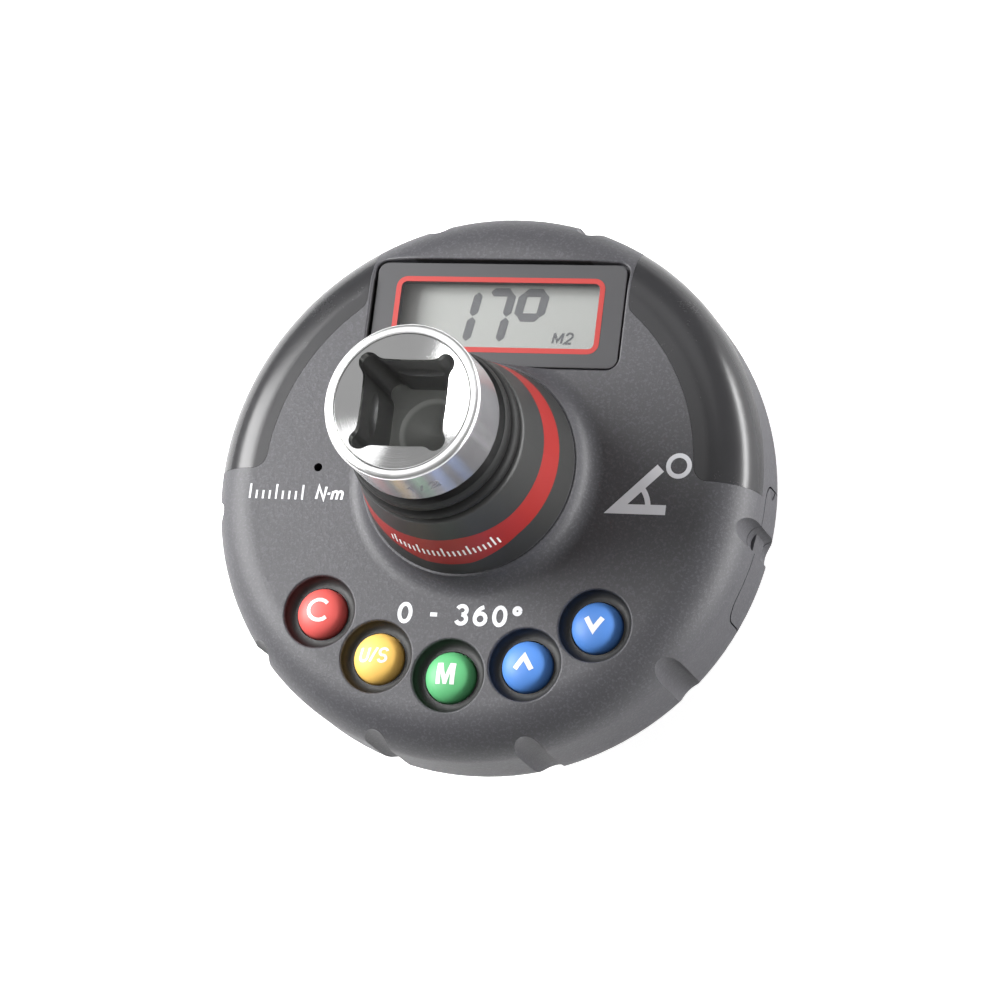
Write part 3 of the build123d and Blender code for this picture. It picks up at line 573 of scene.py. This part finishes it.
def printed_ink(name, colour, roughness=0.5):
    """Pad-printed ink with slightly uneven cover."""
    material, tree, shader = new_material(name)
    film = placed(tree, dust_group, ink_dust).outputs[0]
    painted(tree, shader, mottled(tree, film, 0.2, colour, dimmed(colour, 0.75)),
            levels(tree, film, roughness * 0.9, roughness * 1.15))
    return material


def clear_sheet(name, colour, alpha):
    """Thin clear sheet: only its gloss and a faint tint show."""
    material, tree, shader = new_material(name, alpha=alpha, coat_weight=0.4, coat_roughness=0.04)
    film = placed(tree, dust_group, sheet_dust).outputs[0]
    painted(tree, shader, mottled(tree, film, 0.3, colour, grey(0.8)), levels(tree, film, 0.03, 0.09))
    material.surface_render_method = "BLENDED"
    return material


def display_surface():
    """Reflective display behind glass: grey-green, with painted shade towards its edges that stands for
    the window frame's shadow.
    """
    material, tree, shader = new_material("display_surface", coat_weight=0.3, coat_roughness=0.1)
    shade_x = 15.3
    shade_y = 5.0
    place = object_place(tree)
    across = maths(tree, "ABSOLUTE", place[0])
    upwards = maths(tree, "ABSOLUTE", maths(tree, "SUBTRACT", place[1], window_y))
    # Painted shadow of the window frame along the display's edges
    edge = maths(tree, "MAXIMUM", step(tree, across, shade_x, 1.6), step(tree, upwards, shade_y, 1.2))
    film = placed(tree, dust_group, display_dust).outputs[0]
    base = mottled(tree, film, 0.3, (0.30, 0.312, 0.295, 1.0), (0.26, 0.274, 0.26, 1.0))
    painted(tree, shader, mottled(tree, edge, 0.35, base, (0.2, 0.22, 0.2, 1.0)),
            levels(tree, film, 0.35, 0.5))
    return material


plastic = housing_plastic()
steel = shaft_steel()
neck_rubber = smooth_plastic("seal_rubber", grey(0.005), 0.5, peel=0.003, specular=0.25)
lens_plastic = smooth_plastic("lens_plastic", grey(0.024, (1.0, 0.99, 1.06)), 0.24, peel=0.002,
                              specular=0.35)
inner_plastic = smooth_plastic("inner_plastic", grey(0.02), 0.5)
panel_plastic = smooth_plastic("panel_plastic", grey(0.036, (1.0, 0.99, 1.08)), 0.42)
board_mask = smooth_plastic("board_mask", (0.01, 0.10, 0.04, 1.0), 0.35)
film_amber = smooth_plastic("film_amber", (0.45, 0.16, 0.03, 1.0), 0.3)
light_epoxy = smooth_plastic("light_epoxy", (0.75, 0.74, 0.62, 1.0), 0.2)
band_paint = smooth_plastic("band_paint", (0.24, 0.009, 0.007, 1.0), 0.42, peel=0.003)
cap_red = smooth_plastic("cap_red", (0.60, 0.085, 0.075, 1.0), 0.48, peel=0.003)
cap_yellow = smooth_plastic("cap_yellow", (0.80, 0.48, 0.110, 1.0), 0.48, peel=0.003)
cap_green = smooth_plastic("cap_green", (0.090, 0.38, 0.150, 1.0), 0.48, peel=0.003)
cap_blue = smooth_plastic("cap_blue", (0.065, 0.20, 0.55, 1.0), 0.48, peel=0.003)
red_line = printed_ink("red_line", (0.39, 0.020, 0.015, 1.0), 0.4)
white_ink = printed_ink("white_ink", (0.80, 0.80, 0.79, 1.0))
grey_ink = printed_ink("grey_ink", (0.72, 0.73, 0.76, 1.0))
etched = printed_ink("etched", (0.20, 0.20, 0.22, 1.0), 0.6)
segment_ink = printed_ink("segment_ink", (0.030, 0.034, 0.042, 1.0))
display_face = display_surface()
clear_window = clear_sheet("clear_window", grey(0.5), 0.04)
clear_glass = clear_sheet("clear_glass", grey(0.5), 0.03)
zinc = turned_metal("zinc_plate", grey(0.60, (1.0, 0.99, 0.96)), 0.32)
bronze = turned_metal("sintered_bronze", (0.50, 0.30, 0.13, 1.0), 0.42)
bright_steel = turned_metal("bright_steel", grey(0.75), 0.12)
nickel = turned_metal("nickel_can", grey(0.66, (1.0, 0.98, 0.94)), 0.25)

node_materials = {
    "front_housing": plastic, "back_cover": plastic, "battery_tray": plastic,
    "drive_shaft": steel, "detent_ball": bright_steel,
    "right_indicator": lens_plastic, "left_indicator": lens_plastic,
    "neck_seal": neck_rubber, "keypad_mat": neck_rubber, "display_connectors": neck_rubber,
    "colour_band": band_paint,
    "housing_screws": zinc, "board_screws": zinc, "retaining_ring": zinc, "shaft_key": zinc,
    "thrust_washer": zinc, "detent_spring": zinc, "battery_contacts": zinc,
    "front_bush": bronze, "rear_bush": bronze, "key_contacts": bronze,
    "indicator_lights": light_epoxy, "display_frame": inner_plastic, "board_chips": inner_plastic,
    "buzzer": inner_plastic, "battery_guide": inner_plastic, "circuit_board": board_mask,
    "coin_cell": nickel, "strain_gauges": film_amber, "gauge_cable": film_amber,
    "display_window": clear_window, "display_glass": clear_glass,
    "button_clear": cap_red, "button_units": cap_yellow, "button_mode": cap_green,
    "button_up": cap_blue, "button_down": cap_blue,
}
for name, material in node_materials.items():
    mesh = nodes[name].data
    mesh.materials.clear()
    mesh.materials.append(material)


# Buttons: domed caps with their legends
cap_radius = 3.83
cap_rise = 2.05               # foot of the dome to its crown
dome_rings = 14
cap_steps = 72
stem_radius = 2.2
flange_radius = 4.88
flange_thickness = 0.8
flange_drop = 3.05            # face to the flange's top


def dome_z(radius):
    """Height of a cap's dome over its foot."""
    return cap_rise * max(0.0, 1 - (radius / cap_radius) ** 2.2) ** 0.55


def cap(crown, foot):
    """Stem, flange and dome, from the lowest level to the highest."""
    flange_top = face_z - flange_drop
    flange_low = flange_top - flange_thickness
    profile = [(0, foot), (stem_radius, foot), (stem_radius, flange_low), (flange_radius, flange_low),
               (flange_radius, flange_top), (cap_radius, flange_top)]
    for i in range(dome_rings, -1, -1):
        radius = cap_radius * sin(pi / 2 * i / dome_rings)
        profile.append((radius, crown - cap_rise + dome_z(radius)))
    return turned(profile, cap_steps)


def on_dome(mesh_edit, crown):
    """Lay a flat legend on a cap's dome."""
    refined(mesh_edit, 0.35)
    for vert in mesh_edit.verts:
        radius = sqrt(vert.co.x ** 2 + vert.co.y ** 2)
        vert.co.z += crown - cap_rise + dome_z(radius) + print_lift
    return mesh_edit


legend_shift = 0.15           # towards the display
chevron = [(-1.25, -0.95), (0, 0.95), (1.25, -0.95)]
chevron_weight = 0.76
legends = {
    "button_clear": moved(lettering("C", 3.7, 0.56), x=-0.1),
    "button_units": moved(lettering("U/S", 2.4, 0.38, slope=8.0, spacing=0.04), x=-0.2),
    "button_mode": moved(capital_m(3.2, 2.85, 0.66), x=-0.2),
    "button_up": stroke(chevron, chevron_weight),
    "button_down": stroke([(x, -y) for x, y in chevron], chevron_weight),
}
for name, legend in legends.items():
    crown = high(name).z
    centre = (low(name) + high(name)) / 2
    finished(name + "_cap", moved(cap(crown, low(name).z), centre.x, centre.y), name,
             node_materials[name], 50, [name])
    legend = on_dome(moved(legend, y=legend_shift), crown)
    finished(name + "_legend", moved(legend, centre.x, centre.y), name, white_ink, 60)


# Window: its printed border, a red line and a clear pane
window_corner = 1.6
border_round = 0.12
clear_width = 31.4
clear_height = 10.3
clear_corner = 0.9
red_wall = 0.8
pane_share = 0.8              # of the window's thickness
pane_lift = 0.1

window_low = low("display_window").z
window_size = high("display_window") - low("display_window")
window_outline = (window_size.x, window_size.y, window_corner)
clear_outline = (clear_width, clear_height, clear_corner)
line_outline = (clear_width + 2 * red_wall, clear_height + 2 * red_wall, clear_corner + red_wall)
border = frame_plate(window_outline, clear_outline, window_size.z, border_round)
finished("window_border", moved(border, y=window_y, z=window_low), "head",
         panel_plastic, 20, ["display_window"])
line = frame_plate(line_outline, clear_outline, print_thickness)
finished("window_line", moved(line, y=window_y, z=window_low + window_size.z + print_lift), "head",
         red_line, 20)
pane = plate(*clear_outline, window_size.z * pane_share)
finished("window_pane", moved(pane, y=window_y, z=window_low + pane_lift), "head",
         clear_window)


# Display: two glasses, and the segments between them
segment_slant = 9.4           # degrees
segment_height = 7.9          # outer ends of the two columns
segment_pitch = 5.3
segment_column = 3.5          # distance of a digit's columns
segment_width = 1.34
segment_gap = 0.10
segment_middle = window_y + 0.6
first_column = -4.8           # right column of the first digit
note_x = 9.9
note_drop = 2.6               # window's middle to the note's
glass_corner = 0.2
front_glass_thickness = 0.5   # with the gap behind it
crystal_gap = 0.1


def segment(length, upright):
    """One bar of a digit, pointed at both ends."""
    half, side = length / 2, segment_width / 2
    tip = side * 0.9
    bar = [(-half, 0), (-half + tip, -side), (half - tip, -side), (half, 0), (half - tip, side),
           (-half + tip, side)]
    return moved(polygon(bar, print_thickness), turn=90 if upright else 0)


def digit(lit):
    """Bars of one digit about its right column and its middle."""
    upright = segment_height / 2 - segment_gap
    across = segment_column - segment_gap
    quarter = segment_height / 4
    bars = {
        "top": (-segment_column / 2, 2 * quarter, False), "middle": (-segment_column / 2, 0, False),
        "lit_floor_shaded_hole": (-segment_column / 2, -2 * quarter, False),
        "upper_right": (0, quarter, True), "lower_right": (0, -quarter, True),
        "upper_left": (-segment_column, quarter, True), "lower_left": (-segment_column, -quarter, True),
    }
    return joined([moved(segment(upright if bars[name][2] else across, bars[name][2]), *bars[name][:2])
                   for name in lit])


glass_low, glass_high = low("display_glass"), high("display_glass")
glass_outline = (glass_high.x - glass_low.x, glass_high.y - glass_low.y, glass_corner)
crystal_z = glass_high.z - front_glass_thickness
shown = [
    ["upper_right", "lower_right"],
    ["top", "upper_right", "lower_right"],
    ["top", "upper_right", "middle", "upper_left"],
]
digits = [moved(digit(lit), x=first_column + i * segment_pitch) for i, lit in enumerate(shown)]
reading = moved(joined(digits), lean=segment_slant)
finished("display_digits", moved(reading, y=segment_middle, z=crystal_z + print_lift), "head",
         segment_ink)
note = lettering("M2", 1.95, 0.34, segment_slant, 0.12)
finished("display_note", moved(note, note_x, window_y - note_drop, crystal_z + print_lift), "head",
         segment_ink)
rear_glass = plate(*glass_outline, crystal_z - glass_low.z)
finished("display_back", moved(rear_glass, y=window_y, z=glass_low.z), "head",
         display_face, 35, ["display_glass"])
front_glass = plate(*glass_outline, glass_high.z - crystal_z - crystal_gap)
finished("display_front", moved(front_glass, y=window_y, z=crystal_z + crystal_gap), "head",
         clear_glass)


# Print on the face: an angle sign with a degree ring, a scale with a unit, and a turning range
angle_mark_place = (22.3, -4.6)
angle_mark_width = 7.6
angle_mark_height = 6.4
angle_stroke = 1.5
angle_degrees = 46
angle_arc_radius = 4.9
angle_arc_width = 0.8
ring_place = (31.2, 2.2)
ring_inner = 1.25
ring_outer = 1.95
ring_steps = 48
range_y = -3.6
unit_x = -22.4
scale_x = -35.2
scale_drop = 1.15             # unit's middle to the foot of the bars
scale_count = 9
scale_pitch = 1.05
scale_long = 2.3
scale_short = 1.3
scale_weight = 0.3
turn_mark_place = (0.3, -21.6)


def angle_mark():
    """Two legs and an arc, standing for an angle."""
    leg = angle_mark_height / sin(radians(angle_degrees))
    legs = [(leg * cos(radians(angle_degrees)), angle_mark_height), (0, 0), (angle_mark_width, 0)]
    arc = bow(0, 0, angle_arc_radius, 0, angle_degrees)
    return joined([stroke(legs, angle_stroke), stroke(arc, angle_arc_width, print_thickness * 1.3)])


def on_face(name, mesh_edit, x, y):
    """Finish flat print at a place on the face."""
    finished(name, moved(mesh_edit, x, y, face_z + print_lift), "head", grey_ink)


on_face("angle_mark", angle_mark(), *angle_mark_place)
ring = thickened(turned([(ring_inner, 0), (ring_outer, 0)], ring_steps), print_thickness)
on_face("degree_ring", ring, *ring_place)
on_face("unit_mark", lettering("N.m", 2.35, 0.4, slope=8.0, spacing=0.1), unit_x, range_y)
scale_bars = []
for i in range(scale_count):
    height = scale_long if i % 4 == 0 else scale_short
    scale_bars.append(moved(stroke([(0, 0), (0, height)], scale_weight), i * scale_pitch))
on_face("range_scale", joined(scale_bars), scale_x, range_y - scale_drop)
on_face("turn_mark", lettering("0 - 360o", 3.3, 0.6), *turn_mark_place)


# Ticks on the colour band: a plain scale towards the buttons
front_azimuth = 270           # degrees
tick_pitch = 3.0              # degrees
tick_count = 23
tick_foot = 8.6               # above the face, as are the two tops
tick_top = 10.0
long_tick_top = 10.9
tick_width = 0.28
tick_corner = 0.06


def neck_radius(z):
    return neck_top_radius + (neck_top_z - z) * tan(radians(neck_draft))


ticks = []
for i in range(tick_count):
    offset = i - tick_count // 2
    top = long_tick_top if offset % 5 == 0 else tick_top
    bar = refined(plate(tick_width, top - tick_foot, tick_corner, print_thickness), 0.6)
    ticks.append(wrapped(bar, front_azimuth + offset * tick_pitch, face_z + (tick_foot + top) / 2,
                         neck_radius))
finished("band_ticks", joined(ticks), "head", white_ink)


# Size of the square, etched on the barrel
etched_azimuth = -74          # degrees
etched_rise = 30.0            # face to the middle of the etched size
size_mark = refined(lettering("1/2", 2.3, 0.3, spacing=0.3), 0.5)
size_mark = wrapped(size_mark, etched_azimuth, face_z + etched_rise, lambda z: barrel_radius)
finished("etched_size", size_mark, "head", etched)


# Floor: pale paper
floor_half = 3.0              # metres
floor_glow = 0.7              # where it is looked at
bounced_glow = 0.05           # in the object's reflections


def glowing_paper(name, colour, roughness):
    """Paper that is lit up where it is looked at, and hardly in the object's reflections."""
    material, tree, shader = new_material(name, roughness=roughness)
    shader.inputs["Emission Color"].default_value = colour
    direct = add(tree, "LightPath").outputs["Is Camera Ray"]
    tree.links.new(levels(tree, direct, bounced_glow, floor_glow), shader.inputs["Emission Strength"])
    haze = add(tree, "TexNoise", {"Vector": add(tree, "TexCoord").outputs["Object"], "Scale": 3.0})
    tree.links.new(mottled(tree, haze.outputs["Fac"], 0.1, colour, dimmed(colour, 0.97)),
                   shader.inputs["Base Color"])
    return material


floor_edit = bmesh.new()
bmesh.ops.create_grid(floor_edit, x_segments=8, y_segments=8, size=floor_half)
floor_mesh = bpy.data.meshes.new("floor")
floor_edit.to_mesh(floor_mesh)
floor_edit.free()
floor_mesh.materials.append(glowing_paper("floor_paper", grey(0.93), 0.75))
floor = bpy.data.objects.new("floor", floor_mesh)
bpy.context.scene.collection.objects.link(floor)


# Camera, found from the round edges and the square drive: place about the face's centre in
# millimetres, and its own right, down and forward directions
camera_place = Vector((208.18, -177.53, 592.17))
camera_right = Vector((0.94908907, 0.11847337, -0.2918801))
camera_down = Vector((0.02994017, -0.95631226, -0.29080997))
camera_forward = Vector((-0.31358176, 0.26726562, -0.91117263))
focal_pixels = 4399.5
frame_pixels = 1000
sensor = 36.0

camera_data = bpy.data.cameras.new("camera")
camera_data.sensor_width = sensor
camera_data.lens = focal_pixels / frame_pixels * sensor
camera_data.clip_start = 0.05
camera_data.clip_end = 20.0
camera = bpy.data.objects.new("camera", camera_data)
bpy.context.scene.collection.objects.link(camera)
axes = Matrix((camera_right, -camera_down, -camera_forward)).transposed()
camera.matrix_world = Matrix.Translation((camera_place + Vector((0, 0, face_z))) * metres) @ axes.to_4x4()
bpy.context.scene.camera = camera


# Soft lights round the object, in metres and watts
object_centre = Vector((0, 0, 0.04))


def area_light(name, place, width, height, watts):
    """A rectangular light that faces the object."""
    data = bpy.data.lights.new(name, "AREA")
    data.shape = "RECTANGLE"
    data.size = width
    data.size_y = height
    data.energy = watts
    light = bpy.data.objects.new(name, data)
    light.location = place
    light.rotation_euler = (object_centre - Vector(place)).to_track_quat("-Z", "Y").to_euler()
    bpy.context.scene.collection.objects.link(light)


area_light("key", (-0.30, 0.05, 0.28), 0.24, 0.24, 3.7)
area_light("high", (-0.30, 0.26, 0.75), 0.35, 0.35, 0.45)
area_light("top", (0.05, 0.55, 0.70), 0.5, 0.35, 0.7)
area_light("right", (0.60, 0.12, 0.07), 0.9, 0.08, 8.5)
area_light("front", (0.10, -0.75, 0.18), 0.5, 0.18, 0.2)


# Surroundings: for the object dim at the horizon and bright above and below, and pale behind it
horizon_glow = 0.1
zenith_glow = 0.9
backdrop_glow = 2.1
surround_strength = 0.42

world = bpy.data.worlds.new("studio")
world.use_nodes = True
sky = world.node_tree
direction = add(sky, "TexCoord").outputs["Generated"]
up = add(sky, "SeparateXYZ", {0: direction}).outputs[2]
lighting = levels(sky, maths(sky, "ABSOLUTE", up), horizon_glow, zenith_glow)
backdrop = times(sky, add(sky, "LightPath").outputs["Is Camera Ray"], backdrop_glow)
glow = maths(sky, "MAXIMUM", lighting, backdrop)
background = sky.nodes["Background"]
sky.links.new(add(sky, "CombineColor", {0: glow, 1: glow, 2: glow}).outputs[0], background.inputs["Color"])
background.inputs["Strength"].default_value = surround_strength
bpy.context.scene.world = world
bpy.context.scene.view_settings.view_transform = "Standard"
